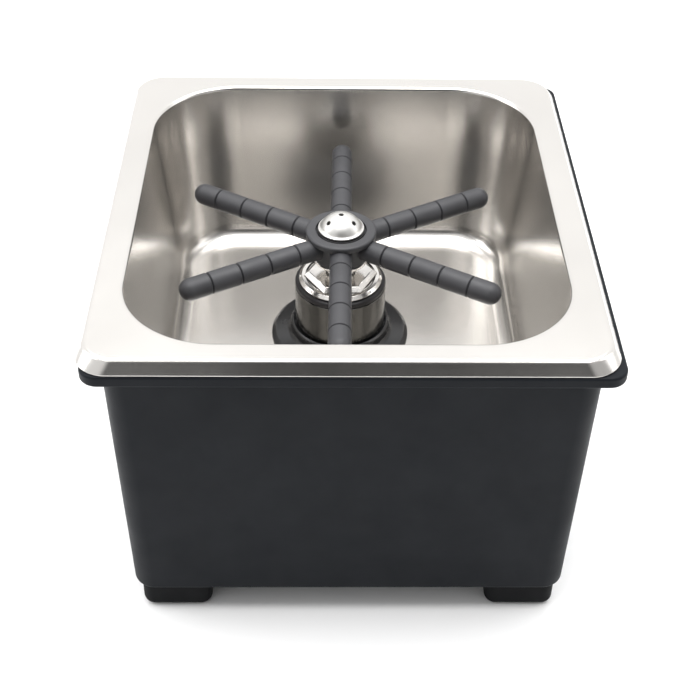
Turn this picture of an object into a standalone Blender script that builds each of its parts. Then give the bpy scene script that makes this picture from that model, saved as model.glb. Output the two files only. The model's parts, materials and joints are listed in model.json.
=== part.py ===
"""Free-standing jug rinser: a steel pan in a moulded tub, with a spring-loaded six-arm spray spider.

All driving dimensions are in millimetres, and the helpers turn them into metres. The origin is on
the ground, in the middle of the foot print. +X is the rinser's right side, +Y its back and +Z up.
"""
import math

import bmesh
import bpy
from mathutils import Matrix, Vector

MM = 0.001
GAP = 0.3                   # clearance left between two pieces that touch

# Tub: tapered moulding with an outward flange, standing on four feet
TUB_X = 0.8                 # the pan sits a little to the left in the tub's loose seat
FOOT_HEIGHT = 12.0
FOOT_SIZE = 23.9
FOOT_CORNER = 4.0
FOOT_X = 59.5
FOOT_Y = 67.4
TUB_BOTTOM = FOOT_HEIGHT + GAP
TUB_FLOOR = 2.6
TUB_WALL = 2.5
TUB_FOOT_HALF = (73.75, 81.95)
TUB_TOP_HALF = (75.85, 83.4)
TUB_CORNER = 7.5
TUB_BOTTOM_ROUND = 1.2
FLANGE_HALF = (81.0, 88.0)
FLANGE_TOP = 112.9
FLANGE_THICK = 3.9
FLANGE_CORNER = 5.8
OUTLET_HALF = (29.0, 11.0)
OUTLET_Z = 31.0

# Pan: pressed sheet, flat rim with a turned-down skirt
PAN_X = -0.7
PAN_Y = 0.2
SHEET = 0.8
RIM_TOP = 117.4
RIM_HALF = (81.0, 87.8)
RIM_CORNER = 10.0           # the same at the flat's edge and at the skirt's hem
SKIRT_FLARE = 2.6
SKIRT_HEM = 0.7             # upright lower edge of the flared skirt
SKIRT_BOTTOM = FLANGE_TOP + GAP
BEND_RADIUS = 1.6
MOUTH_HALF = (69.7, 77.1)
MOUTH_CORNER = 30.0
MOUTH_RADIUS = 1.5
PAN_FLOOR = 52.4
PAN_BASE_HALF = (64.4, 71.6)
PAN_BASE_CORNER = 24.0
PAN_FILLET = 7.0

# Valve tower, all on one vertical axis
TOWER_X = -2.3
BODY_RADIUS = 12.0
BODY_TOP = 85.3
BODY_BOTTOM = 33.0
CHAMBER_RADIUS = 9.0
SEAT_RADIUS = 6.2
SEAT_BOTTOM = 59.4
SEAT_TOP = 62.2
NECK_BORE = 10.0
HOLE_RADIUS = 12.4
SLEEVE_RADIUS = 16.1
SLEEVE_BOTTOM = 66.6
SLEEVE_TOP = 81.7
RING_TOP = 85.6
RING_RADIUS = 14.75
HEX_TOP = 87.3
HEX_TOP_RADIUS = 11.2
HEX_BASE_RADIUS = 13.2
HEX_TURN = math.radians(33)  # one flat of the nut faces the front, turned by 3 degrees
NOTCHES = 8

# Plunger and spider
STEM_RADIUS = 5.0
STEM_BORE = 2.2
STEM_TAIL = 3.0
RUNNING = 5.3               # radius of the bores that the stem slides in
PRESS_TRAVEL = 5.0
COLLAR_BOTTOM = HEX_TOP + PRESS_TRAVEL + GAP
COLLAR_THICK = 1.2
HUB_BOTTOM = COLLAR_BOTTOM + COLLAR_THICK + GAP
HUB_RADIUS = 9.9
DISC_RADIUS = 12.35
DISC_TOP = 105.0
DISC_THICK = 2.2
ARM_COUNT = 6
ARM_Z = 99.7
ARM_REACH = 61.2
ARM_ROOT = 8.2
ARM_RADIUS = 3.8
GROOVE_FIRST = 17.7
GROOVE_PITCH = 10.95
GROOVE_COUNT = 4
GROOVE_HALF = 0.45
GROOVE_DEPTH = 0.45
SPIDER_TURN = math.radians(-90.9)
DOME_FLANGE = 7.95
DOME_BASE = 7.3
DOME_SPHERE = 7.4
DOME_TOP = 111.0
DOME_HOLE = 0.85
DOME_HOLE_TILT = math.radians(40)

# Return spring under the plunger
SPRING_BOTTOM = 41.0
SPRING_TOP = 52.5
SPRING_RADIUS = 5.6
SPRING_WIRE = 0.5
SPRING_TURNS = 5
SPRING_END_PITCH = 1.3
SPRING_POINTS_PER_TURN = 14

# Water inlet under the tower
INLET_Z = 25.0
INLET_TURN = math.radians(180)      # the inlet looks left, clear of the drain behind it
ELBOW_BOTTOM = 17.0
ELBOW_RADIUS = 10.0
STUB_RADIUS = 7.6
STUB_END = 17.0
TAIL_END = 46.0
TAIL_SHOULDER = 22.0
BARB_COUNT = 3
BARB_PITCH = 5.0
BARB_SLOPE = 3.6

# Drain behind the tower
DRAIN_Y = 50.0
DRAIN_FLANGE = 11.8
DRAIN_TUBE = 8.7
DRAIN_HOLE = 9.0
DRAIN_BOTTOM = 33.0
STRAINER_RADIUS = 7.2
STRAINER_HOLE = 1.1
STRAINER_RING = 4.3
WASTE_Z = 28.0
WASTE_REACH = 26.0

ROUND = 32                  # facets round a large turned piece
SMALL = 20                  # facets round a small one
CORNER_STEPS = 5            # facets round each corner of the tub and the pan
FOOT_STEPS = 2              # and of a foot


# ---------------------------------------------------------------- scene and materials

def clear_scene():
    for old in list(bpy.data.objects):
        bpy.data.objects.remove(old, do_unlink=True)


def new_collection(name):
    collection = bpy.data.collections.new(name)
    bpy.context.scene.collection.children.link(collection)
    return collection


def material(name, colour, roughness, metallic=0.0):
    made = bpy.data.materials.new(name)
    made.use_nodes = True
    shader = made.node_tree.nodes["Principled BSDF"]
    shader.inputs["Base Color"].default_value = (*colour, 1.0)
    shader.inputs["Roughness"].default_value = roughness
    shader.inputs["Metallic"].default_value = metallic
    return made


clear_scene()
PARTS = new_collection("jug_rinser")
CUTTERS = new_collection("cutters")

TUB_PLASTIC = material("tub_plastic", (0.030, 0.032, 0.037), 0.48)
FOOT_RUBBER = material("foot_rubber", (0.018, 0.018, 0.020), 0.65)
PAN_STEEL = material("pan_steel", (0.72, 0.71, 0.69), 0.26, 1.0)
POLISHED_STEEL = material("polished_steel", (0.70, 0.70, 0.69), 0.12, 1.0)
SPRING_STEEL = material("spring_steel", (0.62, 0.62, 0.62), 0.28, 1.0)
SCREW_STEEL = material("screw_steel", (0.60, 0.60, 0.60), 0.35, 1.0)
BRASS = material("brass", (0.76, 0.60, 0.30), 0.30, 1.0)
GLOSS_BLACK = material("gloss_black", (0.015, 0.015, 0.016), 0.16)
SEAL_RUBBER = material("seal_rubber", (0.020, 0.019, 0.020), 0.42)
SPIDER_RUBBER = material("spider_rubber", (0.060, 0.060, 0.066), 0.62)
WHITE_PLASTIC = material("white_plastic", (0.78, 0.78, 0.76), 0.45)


# ---------------------------------------------------------------- shape helpers

def add_mesh_object(name, bm, finish, location=(0, 0, 0), rotation=(0, 0, 0)):
    """Write a bmesh into a new object of the assembly; a piece without a finish is a cutter."""
    mesh = bpy.data.meshes.new(name)
    bm.to_mesh(mesh)
    bm.free()
    if mesh.polygons:
        mesh.shade_smooth()
        mesh.set_sharp_from_angle(angle=math.radians(35))
    made = bpy.data.objects.new(name, mesh)
    made.location = Vector(location) * MM
    made.rotation_euler = rotation
    if finish is None:
        CUTTERS.objects.link(made)
        made.hide_render = True
        made.display_type = 'WIRE'
    else:
        PARTS.objects.link(made)
        mesh.materials.append(finish)
    return made


def turned(name, profile, finish, location=(0, 0, 0), rotation=(0, 0, 0), steps=SMALL, ring=True):
    """Spin a profile of (radius, height) points about Z.

    The profile runs down the outer side from the top. A ring's profile closes on itself, and a
    solid one's starts and ends on the axis.
    """
    bm = bmesh.new()
    points = [bm.verts.new((radius * MM, 0, height * MM)) for radius, height in profile]
    for first, second in zip(points, points[1:]):
        bm.edges.new((first, second))
    if ring:
        bm.edges.new((points[-1], points[0]))
    made = add_mesh_object(name, bm, finish, location, rotation)
    screw = made.modifiers.new("turn", 'SCREW')
    screw.axis = 'Z'
    screw.angle = 2 * math.pi
    screw.steps = steps
    screw.render_steps = steps
    screw.use_merge_vertices = True
    screw.merge_threshold = 0.00001
    screw.use_smooth_shade = True
    return made


def washer(outer, inner, bottom, top):
    """Profile of a plain ring."""
    return [(outer, top), (outer, bottom), (inner, bottom), (inner, top)]


def rod(radius, bottom, top):
    """Profile of a plain round bar."""
    return [(0, top), (radius, top), (radius, bottom), (0, bottom)]


def arc(centre, radius, start, end, count):
    """Points along an arc in a profile, the angles in degrees from the profile's outward axis."""
    angles = [math.radians(start + (end - start) * step / count) for step in range(count + 1)]
    return [(centre[0] + radius * math.cos(a), centre[1] + radius * math.sin(a)) for a in angles]


def hexagon(name, base_radius, top_radius, bottom, top, finish, location=(0, 0, 0), turn=0.0):
    """Upright six-sided block, tapered when its two radii differ."""
    bm = bmesh.new()
    height = (top - bottom) * MM
    bmesh.ops.create_cone(
        bm, segments=6, radius1=base_radius * MM, radius2=top_radius * MM, depth=height, cap_ends=True,
        matrix=Matrix.Translation((0, 0, bottom * MM + height / 2)) @ Matrix.Rotation(turn, 4, 'Z'))
    return add_mesh_object(name, bm, finish, location)


def drills(name, holes, segments=12, location=(0, 0, 0)):
    """One cutter made of several cylinders, each given by centre, axis, radius and length."""
    bm = bmesh.new()
    for centre, axis, radius, length in holes:
        aim = Vector((0, 0, 1)).rotation_difference(Vector(axis)).to_matrix().to_4x4()
        bmesh.ops.create_cone(
            bm, segments=segments, radius1=radius * MM, radius2=radius * MM, depth=length * MM,
            cap_ends=True, matrix=Matrix.Translation(Vector(centre) * MM) @ aim)
    return add_mesh_object(name, bm, None, location)


def boolean(target, tool, operation):
    change = target.modifiers.new(operation.lower(), 'BOOLEAN')
    change.object = tool
    change.operation = operation
    change.solver = 'EXACT'


def cut(target, tool):
    boolean(target, tool, 'DIFFERENCE')


def fuse(target, tool):
    boolean(target, tool, 'UNION')


def rounded_rectangle(half_x, half_y, radius, corner_steps):
    """Corner points of a rounded rectangle, anticlockwise from its right side."""
    points = []
    centres = [(1, 1), (-1, 1), (-1, -1), (1, -1)]
    for quarter, (side_x, side_y) in enumerate(centres):
        for step in range(corner_steps + 1):
            angle = math.pi / 2 * (quarter + step / corner_steps)
            x = side_x * (half_x - radius) + radius * math.cos(angle)
            y = side_y * (half_y - radius) + radius * math.sin(angle)
            points.append((x, y))
    return points


def lofted(name, sections, finish, location, cap_first, corner_steps=CORNER_STEPS):
    """Skin a stack of rounded rectangles (half x, half y, corner radius, height) and cap the last."""
    bm = bmesh.new()
    rings = []
    for half_x, half_y, radius, height in sections:
        outline = rounded_rectangle(half_x, half_y, radius, corner_steps)
        rings.append([bm.verts.new((x * MM, y * MM, height * MM)) for x, y in outline])
    count = len(rings[0])
    for lower, upper in zip(rings, rings[1:]):
        for i in range(count):
            j = (i + 1) % count
            bm.faces.new((lower[i], lower[j], upper[j], upper[i]))
    bm.faces.new(rings[-1])
    if cap_first:
        bm.faces.new(reversed(rings[0]))
    return add_mesh_object(name, bm, finish, location)


def inset_section(half, corner, inset, height):
    """Section drawn in by an even amount all round."""
    return (half[0] - inset, half[1] - inset, max(corner - inset, 1.0), height)


def tilted(axis_turn, tilt):
    """Unit vector leaning away from vertical by tilt, towards the azimuth axis_turn."""
    return (math.sin(tilt) * math.cos(axis_turn), math.sin(tilt) * math.sin(axis_turn), math.cos(tilt))


# ---------------------------------------------------------------- tub and feet

def foot_places():
    names = {(-1, -1): "front_left", (1, -1): "front_right", (-1, 1): "rear_left", (1, 1): "rear_right"}
    return [(name, TUB_X + side_x * FOOT_X, side_y * FOOT_Y) for (side_x, side_y), name in names.items()]


def make_tub():
    """Closed loft: up the outer wall, round the flange and down the inner wall to the floor."""
    under_flange = FLANGE_TOP - FLANGE_THICK
    bottom_round = TUB_BOTTOM_ROUND
    edge_round = 0.8
    inner_floor = TUB_BOTTOM + TUB_FLOOR
    foot = (TUB_FOOT_HALF, TUB_CORNER)
    flange = (FLANGE_HALF, FLANGE_CORNER)
    inner_top = tuple(half - TUB_WALL for half in TUB_TOP_HALF)
    inner_foot = tuple(half - TUB_WALL for half in TUB_FOOT_HALF)
    corner = TUB_CORNER - TUB_WALL
    sections = [
        inset_section(*foot, bottom_round, TUB_BOTTOM),
        inset_section(*foot, bottom_round * 0.29, TUB_BOTTOM + bottom_round * 0.29),
        inset_section(*foot, 0.0, TUB_BOTTOM + bottom_round),
        inset_section(TUB_TOP_HALF, TUB_CORNER, 0.0, under_flange),
        inset_section(*flange, edge_round, under_flange),
        inset_section(*flange, 0.0, under_flange + edge_round),
        inset_section(*flange, 0.0, FLANGE_TOP - edge_round),
        inset_section(*flange, edge_round, FLANGE_TOP),
        inset_section(inner_top, corner, -edge_round, FLANGE_TOP),
        inset_section(inner_top, corner, 0.0, FLANGE_TOP - edge_round),
        inset_section(inner_foot, corner, 0.0, inner_floor + bottom_round),
        inset_section(inner_foot, corner, bottom_round * 0.29, inner_floor + bottom_round * 0.29),
        inset_section(inner_foot, corner, bottom_round, inner_floor),
    ]
    tub = lofted("tub_housing", sections, TUB_PLASTIC, (TUB_X, 0, 0), True)
    cut(tub, hose_outlet_cutter())
    level = TUB_BOTTOM + TUB_FLOOR / 2
    holes = [((x, y, level), (0, 0, 1), 2.2, 4 * TUB_FLOOR) for _, x, y in foot_places()]
    cut(tub, drills("foot_screw_holes", holes))


def hose_outlet_cutter():
    """Rounded slot through the lower back wall, where the two hoses leave."""
    depth = 6 * TUB_WALL
    sections = [(*OUTLET_HALF, OUTLET_HALF[1] - 1.0, end) for end in (-depth, depth)]
    slot = lofted("hose_outlet", sections, None, (TUB_X, TUB_FOOT_HALF[1], OUTLET_Z), True)
    slot.rotation_euler = (math.pi / 2, 0, 0)
    return slot


def make_feet():
    """Square blocks with rounded corners, each held by a screw in a pocket under it."""
    half = FOOT_SIZE / 2
    bottom_round = 3.0
    pocket = [(0, FOOT_HEIGHT + 2), (2.2, FOOT_HEIGHT + 2), (2.2, 7.0), (5.0, 7.0), (5.0, -2), (0, -2)]
    screw = [(0, 17.0), (1.0, 17.0), (1.9, 15.5), (1.9, 6.7), (3.6, 6.7), (3.6, 5.6), (2.6, 4.4), (0, 4.2)]
    block = ((half, half), FOOT_CORNER)
    sections = [
        inset_section(*block, bottom_round, 0.0),
        inset_section(*block, bottom_round * 0.29, bottom_round * 0.29),
        inset_section(*block, 0.0, bottom_round),
        inset_section(*block, 0.0, FOOT_HEIGHT),
    ]
    for place, x, y in foot_places():
        foot = lofted("foot_" + place, sections, FOOT_RUBBER, (x, y, 0), True, FOOT_STEPS)
        cut(foot, turned("pocket_" + place, pocket, None, (x, y, 0), steps=12, ring=False))
        turned("foot_screw_" + place, screw, SCREW_STEEL, (x, y, 0), steps=10, ring=False)


# ---------------------------------------------------------------- pan

def rim_section(inset, height):
    """Section of the skirt or the bend above it, drawn in from the hem with its corners kept."""
    return (RIM_HALF[0] - inset, RIM_HALF[1] - inset, RIM_CORNER, height)


def make_pan():
    """Pressed sheet: skirt, flat rim, tapered wall and floor, drawn as its upper skin."""
    mouth = (MOUTH_HALF, MOUTH_CORNER)
    base = (PAN_BASE_HALF, PAN_BASE_CORNER)
    sections = [
        rim_section(0.0, SKIRT_BOTTOM),
        rim_section(0.0, SKIRT_BOTTOM + SKIRT_HEM),
        rim_section(SKIRT_FLARE - 0.7, RIM_TOP - BEND_RADIUS * 0.75),
        rim_section(SKIRT_FLARE + BEND_RADIUS * 0.05, RIM_TOP - 0.3),
        rim_section(SKIRT_FLARE + BEND_RADIUS * 0.75, RIM_TOP),
    ]
    for step in range(4):
        angle = math.pi / 2 * step / 3
        outset = MOUTH_RADIUS * (1 - math.sin(angle))
        drop = MOUTH_RADIUS * (1 - math.cos(angle))
        sections.append(inset_section(*mouth, -outset, RIM_TOP - drop))
    for step in range(5):
        angle = math.pi / 2 * step / 4
        inset = PAN_FILLET * (1 - math.cos(angle))
        rise = PAN_FILLET * (1 - math.sin(angle))
        sections.append(inset_section(*base, inset, PAN_FLOOR + rise))
    pan = lofted("rinse_pan", sections, PAN_STEEL, (PAN_X, PAN_Y, 0), False)
    sheet = pan.modifiers.new("sheet", 'SOLIDIFY')
    sheet.thickness = SHEET * MM
    sheet.offset = -1.0
    sheet.use_even_offset = True
    sheet.use_quality_normals = True
    holes = [
        ((TOWER_X, 0, PAN_FLOOR), (0, 0, 1), HOLE_RADIUS, 10.0),
        ((TOWER_X, DRAIN_Y, PAN_FLOOR), (0, 0, 1), DRAIN_HOLE, 10.0),
    ]
    cut(pan, drills("pan_holes", holes, segments=SMALL))


# ---------------------------------------------------------------- valve tower

def on_tower(name, profile, finish, steps=SMALL, ring=True):
    return turned(name, profile, finish, (TOWER_X, 0, 0), steps=steps, ring=ring)


def make_tower_shell():
    """What stands on the pan floor: gasket, flange, sleeve, seal ring, ring nut and gland nut."""
    floor = PAN_FLOOR + GAP
    on_tower("floor_gasket", washer(21.5, HOLE_RADIUS, floor, floor + 1.2), SEAL_RUBBER)
    base = floor + 1.2 + GAP
    seat = SLEEVE_BOTTOM - GAP
    flange = [
        (16.3, seat - 0.9), (16.9, seat - 0.9), (17.7, seat - 1.7), (17.9, PAN_FLOOR + 11.4),
        (19.0, PAN_FLOOR + 10.0), (23.4, PAN_FLOOR + 9.2), (24.5, PAN_FLOOR + 8.6), (24.85, PAN_FLOOR + 7.8),
        (24.6, PAN_FLOOR + 6.9), (22.0, base), (HOLE_RADIUS, base), (HOLE_RADIUS, seat), (15.4, seat),
        (15.4, seat - 1.7), (16.3, seat - 1.7),
    ]
    on_tower("floor_flange", flange, GLOSS_BLACK, ROUND)
    on_tower("sleeve", washer(SLEEVE_RADIUS, 14.6, SLEEVE_BOTTOM, SLEEVE_TOP), POLISHED_STEEL, ROUND)
    bottom = SLEEVE_TOP + GAP
    top = RING_TOP - 1.6
    seal = arc((SLEEVE_RADIUS - 1.1, top - 1.1), 1.1, 90, 0, 3)
    seal += arc((SLEEVE_RADIUS - 0.4, bottom + 0.4), 0.4, 0, -90, 1)
    seal += [(HOLE_RADIUS, bottom), (HOLE_RADIUS, top)]
    on_tower("seal_ring", seal, SEAL_RUBBER, ROUND)
    nut = [
        (RING_RADIUS - 1.1, RING_TOP), (RING_RADIUS, RING_TOP - 1.1), (RING_RADIUS, top + GAP),
        (HOLE_RADIUS, top + GAP), (HOLE_RADIUS, RING_TOP),
    ]
    ring = on_tower("ring_nut", nut, POLISHED_STEEL, ROUND)
    cut(ring, notch_cutter())


def notch_cutter():
    """Eight small blocks that leave the spanner notches in the ring nut's bevelled edge."""
    bm = bmesh.new()
    for index in range(NOTCHES):
        turn = Matrix.Rotation(2 * math.pi * index / NOTCHES, 4, 'Z')
        place = Matrix.Translation((RING_RADIUS * MM, 0, RING_TOP * MM))
        size = Matrix.Diagonal((1.6 * MM, 1.5 * MM, 1.5 * MM, 1.0))
        bmesh.ops.create_cube(bm, size=1.0, matrix=turn @ place @ size)
    return add_mesh_object("ring_notches", bm, None, (TOWER_X, 0, 0))


def make_gland():
    """Hexagon nut whose threaded neck holds the stem's O-ring."""
    head_bottom = BODY_TOP + 0.5
    groove = (79.0, 81.2)
    neck = [
        (9.7, head_bottom + 0.6), (9.7, 76.0), (RUNNING, 76.0), (RUNNING, groove[0]), (7.3, groove[0]),
        (7.3, groove[1]), (RUNNING, groove[1]), (RUNNING, head_bottom + 0.6),
    ]
    gland = hexagon("gland_nut", HEX_BASE_RADIUS, HEX_TOP_RADIUS, head_bottom, HEX_TOP, POLISHED_STEEL,
                    (TOWER_X, 0, 0), HEX_TURN)
    bore = drills("gland_bore", [((0, 0, HEX_TOP), (0, 0, 1), RUNNING + 0.3, 10.0)], SMALL, (TOWER_X, 0, 0))
    cut(gland, bore)
    fuse(gland, turned("gland_neck", neck, None, (TOWER_X, 0, 0)))
    on_tower("gland_seal", arc((6.3, 80.1), 0.85, 90, -210, 5), SEAL_RUBBER)


def make_valve_body():
    """Brass tube through the pan floor, with the spring chamber below and the seat above it."""
    profile = [
        (BODY_RADIUS, BODY_TOP), (BODY_RADIUS, BODY_BOTTOM), (CHAMBER_RADIUS, BODY_BOTTOM),
        (CHAMBER_RADIUS, SEAT_BOTTOM), (SEAT_RADIUS, SEAT_BOTTOM), (SEAT_RADIUS, SEAT_TOP - 1.0),
        (SEAT_RADIUS + 1.0, SEAT_TOP), (NECK_BORE, SEAT_TOP), (NECK_BORE, BODY_TOP),
    ]
    on_tower("valve_body", profile, BRASS, ROUND)


def make_pan_clamp():
    """Gasket, washer and nut that pull the valve body tight against the pan floor from below."""
    under = PAN_FLOOR - SHEET - GAP
    on_tower("under_gasket", washer(20.0, HOLE_RADIUS, under - 1.2, under), SEAL_RUBBER)
    under -= 1.2 + GAP
    on_tower("clamp_washer", washer(20.0, HOLE_RADIUS, under - 1.2, under), SCREW_STEEL)
    under -= 1.2 + GAP
    place = (TOWER_X, 0, 0)
    nut = hexagon("back_nut", 18.2, 18.2, under - 7.5, under, BRASS, place)
    cut(nut, drills("back_nut_bore", [((0, 0, under), (0, 0, 1), HOLE_RADIUS, 30.0)], SMALL, place))


# ---------------------------------------------------------------- inlet and drain fittings

def make_inlet():
    """Elbow screwed into the valve body from below, and its barbed hose tail."""
    along = Matrix.Rotation(INLET_TURN, 3, 'Z') @ Vector((1, 0, 0))
    sideways = (0, math.pi / 2, INLET_TURN)
    top = SPRING_BOTTOM - GAP
    shoulder = BODY_BOTTOM - GAP - 1.0
    spigot = CHAMBER_RADIUS - GAP
    upright = [
        (0, top), (spigot, top), (spigot, shoulder), (ELBOW_RADIUS, shoulder),
        (ELBOW_RADIUS, ELBOW_BOTTOM + 1.5), (ELBOW_RADIUS - 1.5, ELBOW_BOTTOM), (0, ELBOW_BOTTOM),
    ]
    elbow = on_tower("inlet_elbow", upright, BRASS, SMALL, ring=False)
    stub = rod(STUB_RADIUS, 3.0, STUB_END)
    stub = turned("inlet_stub", stub, None, (TOWER_X, 0, INLET_Z), sideways, ring=False)
    fuse(elbow, stub)
    centre_up = (0, 0, (INLET_Z + SPRING_BOTTOM) / 2 + 3.0)
    outward = Vector((0, 0, INLET_Z)) + along * 12.0
    waterway = (centre_up, (0, 0, 1), 4.2, SPRING_BOTTOM - INLET_Z + 6.0)
    cut(elbow, drills("inlet_bore_up", [waterway], 16, (TOWER_X, 0, 0)))
    cut(elbow, drills("inlet_bore_out", [(outward, along, 5.6, 16.0)], 16, (TOWER_X, 0, 0)))
    seat = STUB_END + GAP
    collar = [(8.2, TAIL_SHOULDER), (8.2, seat), (5.3, seat), (5.3, 12.0), (3.4, 12.0), (3.4, TAIL_END)]
    turned("inlet_tail", barbs() + collar, BRASS, (TOWER_X, 0, INLET_Z), sideways)


def barbs():
    """Outer side of the hose tail: its barbs from the far end, then plain down to the shoulder."""
    plain = 4.5
    crest = 5.4
    points = []
    for barb in range(BARB_COUNT):
        start = TAIL_END - BARB_PITCH * barb
        points += [(plain, start), (crest, start - BARB_SLOPE), (plain, start - BARB_SLOPE)]
    return points + [(plain, TAIL_SHOULDER)]


def make_drain():
    """Flanged drain through the pan floor with a perforated strainer, nut and elbow."""
    place = (TOWER_X, DRAIN_Y, 0)
    floor = PAN_FLOOR + GAP
    bore = 6.6
    seat = STRAINER_RADIUS + 0.4
    body = [
        (DRAIN_FLANGE - 0.6, floor + 1.2), (DRAIN_FLANGE, floor + 0.6), (DRAIN_FLANGE, floor),
        (DRAIN_TUBE, floor), (DRAIN_TUBE, DRAIN_BOTTOM), (bore, DRAIN_BOTTOM), (bore, floor - 0.7),
        (seat, floor - 0.7), (seat, floor + 1.2),
    ]
    turned("drain_body", body, POLISHED_STEEL, place)
    plate = rod(STRAINER_RADIUS, floor - 0.4, floor + 0.8)
    strainer = turned("drain_strainer", plate, POLISHED_STEEL, place, ring=False)
    spots = [(0, 0, floor)]
    for index in range(6):
        angle = 2 * math.pi * index / 6
        spots.append((STRAINER_RING * math.cos(angle), STRAINER_RING * math.sin(angle), floor))
    holes = [(spot, (0, 0, 1), STRAINER_HOLE, 6.0) for spot in spots]
    cut(strainer, drills("strainer_holes", holes, 8, place))
    under = PAN_FLOOR - SHEET - GAP
    turned("drain_gasket", washer(13.0, DRAIN_HOLE, under - 1.2, under), SEAL_RUBBER, place)
    under -= 1.2 + GAP
    nut = hexagon("drain_nut", 14.5, 14.5, under - 6.0, under, WHITE_PLASTIC, place)
    cut(nut, drills("drain_nut_bore", [((0, 0, under), (0, 0, 1), DRAIN_HOLE, 30.0)], SMALL, place))
    make_drain_elbow(place)


def make_drain_elbow(place):
    """Socket under the drain body that turns the waste water back towards the hose outlet."""
    back = (-math.pi / 2, 0, 0)
    outer = 11.0
    top = 41.5
    bottom = 19.0
    upright = [(0, top), (outer, top), (outer, bottom + 2.0), (outer - 1.5, bottom), (0, bottom)]
    stub = rod(7.5, 0.0, WASTE_REACH)
    elbow = turned("drain_elbow", upright, WHITE_PLASTIC, place, ring=False)
    arm = turned("drain_stub", stub, None, (TOWER_X, DRAIN_Y, WASTE_Z), back, ring=False)
    fuse(elbow, arm)
    cut(elbow, drills("drain_socket", [((0, 0, top - 2.5), (0, 0, 1), DRAIN_HOLE, 14.0)], SMALL, place))
    cut(elbow, drills("drain_bore_up", [((0, 0, DRAIN_BOTTOM), (0, 0, 1), 6.0, 13.0)], SMALL, place))
    cut(elbow, drills("drain_bore_out", [((0, 15.5, WASTE_Z), (0, 1, 0), 5.5, 31.0)], SMALL, place))


# ---------------------------------------------------------------- plunger

def make_stem():
    """Hollow stem: solid tail in the spring, a cross hole above the seat, open at the top."""
    top = 103.6
    shoulder = 57.6
    tail_end = 50.0
    bore_end = 63.5
    cross_hole = 1.4
    profile = [
        (0, bore_end), (STEM_BORE, bore_end), (STEM_BORE, top), (STEM_RADIUS, top),
        (STEM_RADIUS, shoulder), (STEM_TAIL, shoulder), (STEM_TAIL, tail_end), (0, tail_end),
    ]
    stem = on_tower("stem", profile, POLISHED_STEEL, SMALL, ring=False)
    across = ((0, 0, bore_end + 2.5), (1, 0, 0), cross_hole, 2 * STEM_RADIUS + 4)
    cut(stem, drills("stem_cross_hole", [across], 12, (TOWER_X, 0, 0)))
    collar = washer(9.5, RUNNING, COLLAR_BOTTOM, COLLAR_BOTTOM + COLLAR_THICK)
    on_tower("stem_collar", collar, POLISHED_STEEL)


def make_poppet():
    """Poppet with its face seal, and the cup that the return spring pushes on."""
    on_tower("poppet_seal", washer(7.3, RUNNING, 57.6, 59.1), SEAL_RUBBER)
    on_tower("poppet", washer(7.8, 3.3, 54.3, 57.3), BRASS)
    cup = [(7.2, 54.0), (7.2, 51.0), (6.6, 51.0), (6.6, 52.8), (3.3, 52.8), (3.3, 54.0)]
    on_tower("spring_cup", cup, POLISHED_STEEL)


def make_spring():
    """Compression spring with closed end turns."""
    low = SPRING_BOTTOM + SPRING_WIRE
    high = SPRING_TOP - SPRING_WIRE
    steps = SPRING_TURNS * SPRING_POINTS_PER_TURN
    free_pitch = (high - low - 2 * SPRING_END_PITCH) / (SPRING_TURNS - 2)
    curve = bpy.data.curves.new("return_spring", 'CURVE')
    curve.dimensions = '3D'
    curve.bevel_depth = SPRING_WIRE * MM
    curve.bevel_resolution = 1
    curve.render_resolution_u = 0
    curve.use_fill_caps = True
    spline = curve.splines.new('POLY')
    spline.points.add(steps)
    for index in range(steps + 1):
        turn = index / SPRING_POINTS_PER_TURN
        middle = min(max(turn - 1, 0), SPRING_TURNS - 2)
        ends = turn - middle
        height = low + ends * SPRING_END_PITCH + middle * free_pitch
        angle = 2 * math.pi * turn
        point = (SPRING_RADIUS * math.cos(angle), SPRING_RADIUS * math.sin(angle), height)
        spline.points[index].co = (*(Vector(point) * MM), 1.0)
    curve.materials.append(SPRING_STEEL)
    spring = bpy.data.objects.new("return_spring", curve)
    spring.location = (TOWER_X * MM, 0, 0)
    PARTS.objects.link(spring)


# ---------------------------------------------------------------- spider and dome

def arm_profile():
    """Turned arm, from its round tip back to its root, with a V groove between segments."""
    points = arc((0, ARM_REACH - ARM_RADIUS), ARM_RADIUS, 90, 0, 3)
    points[0] = (0, ARM_REACH)
    for index in reversed(range(GROOVE_COUNT)):
        place = GROOVE_FIRST + GROOVE_PITCH * index
        points += [(ARM_RADIUS, place + GROOVE_HALF), (ARM_RADIUS - GROOVE_DEPTH, place)]
        points.append((ARM_RADIUS, place - GROOVE_HALF))
    return points + [(ARM_RADIUS, ARM_ROOT), (0, ARM_ROOT)]


def make_spider():
    """Hub with a top disc, a recess for the dome and six round arms, moulded in one piece."""
    disc_bottom = DISC_TOP - DISC_THICK
    recess_floor = DISC_TOP - 1.2
    edge = 0.9
    hub = [
        (DISC_RADIUS - edge, DISC_TOP), (DISC_RADIUS - edge * 0.29, DISC_TOP - edge * 0.29),
        (DISC_RADIUS, DISC_TOP - edge), (DISC_RADIUS - 0.3, disc_bottom), (HUB_RADIUS + 0.3, disc_bottom),
        (HUB_RADIUS, disc_bottom - 0.6), (HUB_RADIUS, HUB_BOTTOM + 0.8), (HUB_RADIUS - 0.8, HUB_BOTTOM),
        (RUNNING, HUB_BOTTOM), (RUNNING, 98.0), (7.1, 98.0), (7.1, recess_floor), (8.8, recess_floor),
        (8.8, DISC_TOP),
    ]
    spider = on_tower("spider", hub, SPIDER_RUBBER, 28)
    for index in range(ARM_COUNT):
        angle = SPIDER_TURN + 2 * math.pi * index / ARM_COUNT
        outward = (0, math.pi / 2, angle)
        name = "arm_%d" % (index + 1)
        arm = turned(name, arm_profile(), None, (TOWER_X, 0, ARM_Z), outward, 12, ring=False)
        fuse(spider, arm)


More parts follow.
